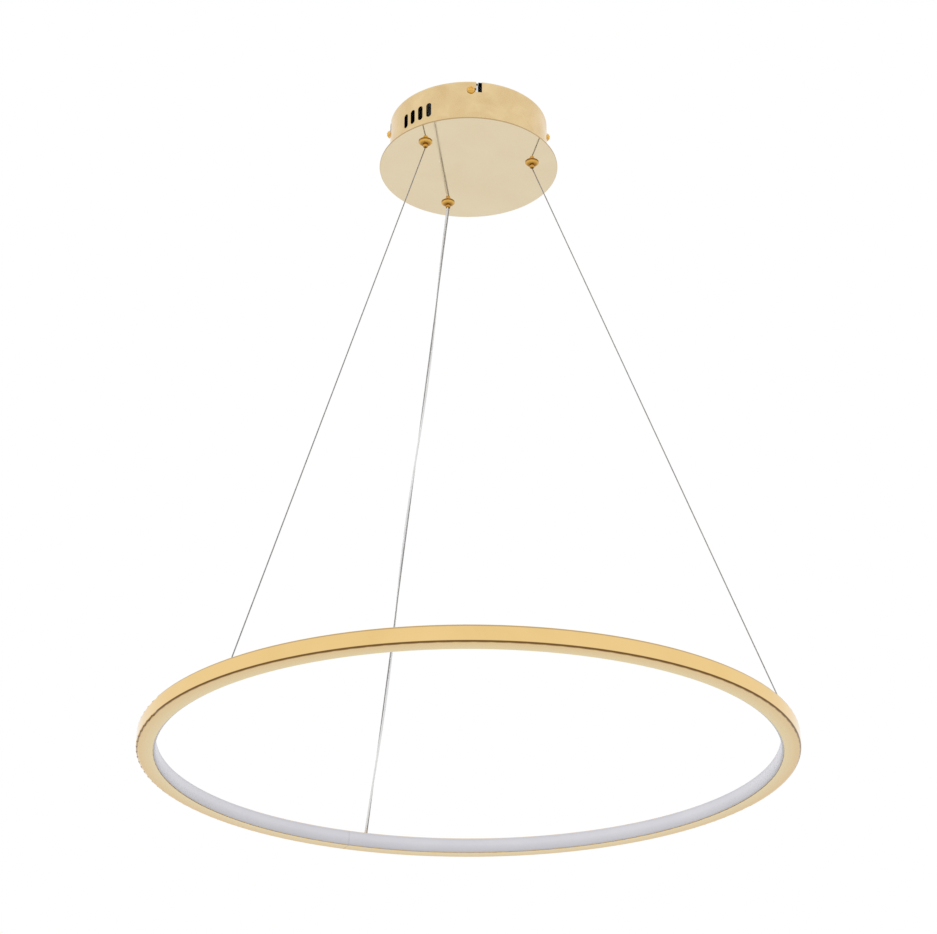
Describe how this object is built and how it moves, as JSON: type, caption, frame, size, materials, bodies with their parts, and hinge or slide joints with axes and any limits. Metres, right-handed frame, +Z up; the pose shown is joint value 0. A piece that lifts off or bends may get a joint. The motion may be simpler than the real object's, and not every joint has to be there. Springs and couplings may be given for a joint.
{
  "type": "led ring chandelier",
  "caption": "Ring-shaped pendant light: gold square-section ring lit on its inner side, hung by steel wires from a round ceiling box with a wider mirror disc.",
  "frame": {"origin": "middle of the ceiling plate's top face, which lies on the ceiling", "axes": "+Z up, +X to the viewer's right, -Y towards the viewer; the ceiling screws' slots lie along X"},
  "size_m": [0.6, 0.6, 0.6945],
  "materials": {
    "zinc_steel": "zinc plated",
    "grey_plastic": "moulded",
    "gold_brass": "polished",
    "gold_wall": "gold plated, satin polished",
    "gold_mirror": "gold plated, mirror polished",
    "wire_steel": "stranded wire",
    "clear_sheath": "clear sheath",
    "white_plastic": "moulded",
    "board_green": "lacquered",
    "core_black": "moulded",
    "lead_black": "sheathed",
    "gold_ring": "brushed, gold anodised",
    "milk_plastic": "milky, satin",
    "board_white": "lacquered",
    "chip_yellow": "clear over yellow"
  },
  "bodies": {
    "ceiling_mount": {"ceiling_plate": "zinc_steel", "supply_bush": "grey_plastic", "earth_screw": "zinc_steel", "canopy_screws": "gold_brass"},
    "ring": {"ring_profile": "gold_ring", "diffuser": "milk_plastic", "light_board": "board_white", "light_chips": "chip_yellow", "strip_clip": "grey_plastic", "splice_plate": "zinc_steel", "splice_screws": "gold_brass", "anchor_nuts": "zinc_steel", "anchor_bush_1": "gold_brass", "anchor_bush_2": "gold_brass", "anchor_bush_3": "gold_brass", "wire_ends": "wire_steel", "wire_ferrules": "zinc_steel", "power_cable_end": "clear_sheath"},
    "nose_1": {"gripper_nose_1": "gold_brass", "gripper_jaws_1": "gold_brass"},
    "nose_2": {"gripper_nose_2": "gold_brass", "gripper_jaws_2": "gold_brass"},
    "nose_3": {"gripper_nose_3": "gold_brass", "gripper_jaws_3": "gold_brass"},
    "canopy": {"canopy_disc": "gold_mirror", "canopy_shell": "gold_wall", "driver_board": "board_green", "driver_capacitors": "core_black", "driver_case": "white_plastic", "driver_lid": "white_plastic", "driver_output_lead": "clear_sheath", "driver_screws": "zinc_steel", "driver_transformer": "core_black", "gripper_body_1": "gold_brass", "gripper_body_2": "gold_brass", "gripper_body_3": "gold_brass", "gripper_cap_1": "gold_brass", "gripper_cap_2": "gold_brass", "gripper_cap_3": "gold_brass", "gripper_nuts": "zinc_steel", "gripper_spring_1": "zinc_steel", "gripper_spring_2": "zinc_steel", "gripper_spring_3": "zinc_steel", "gripper_washers": "zinc_steel", "mains_lead": "lead_black", "output_plug": "white_plastic", "output_socket": "white_plastic", "power_cable": "clear_sheath", "power_cable_inner": "clear_sheath", "suspension_wire_1": "wire_steel", "suspension_wire_2": "wire_steel", "suspension_wire_3": "wire_steel", "terminal_block": "grey_plastic", "terminal_screws": "zinc_steel", "wire_stops": "zinc_steel", "wire_tails": "wire_steel"}
  },
  "joints": [
    {"name": "canopy_twist", "type": "hinge", "parent": "ceiling_mount", "child": "canopy", "pos_m": [0, 0, 0], "axis": [0, 0, 1], "range_deg": [-5.8, 0]},
    {"name": "ring_height", "type": "slide", "parent": "canopy", "child": "ring", "axis": [0, 0, 1], "range_m": [0, 0.35], "deforming": ["suspension_wire_1", "suspension_wire_2", "suspension_wire_3", "power_cable"]},
    {"name": "nose_press_1", "type": "slide", "parent": "canopy", "child": "nose_1", "axis": [0, 0, 1], "range_m": [0, 0.002], "stiffness_N_per_m": 600, "springref_m": -0.003, "deforming": ["gripper_spring_1"]},
    {"name": "nose_press_2", "type": "slide", "parent": "canopy", "child": "nose_2", "axis": [0, 0, 1], "range_m": [0, 0.002], "stiffness_N_per_m": 600, "springref_m": -0.003, "deforming": ["gripper_spring_2"]},
    {"name": "nose_press_3", "type": "slide", "parent": "canopy", "child": "nose_3", "axis": [0, 0, 1], "range_m": [0, 0.002], "stiffness_N_per_m": 600, "springref_m": -0.003, "deforming": ["gripper_spring_3"]}
  ]
}
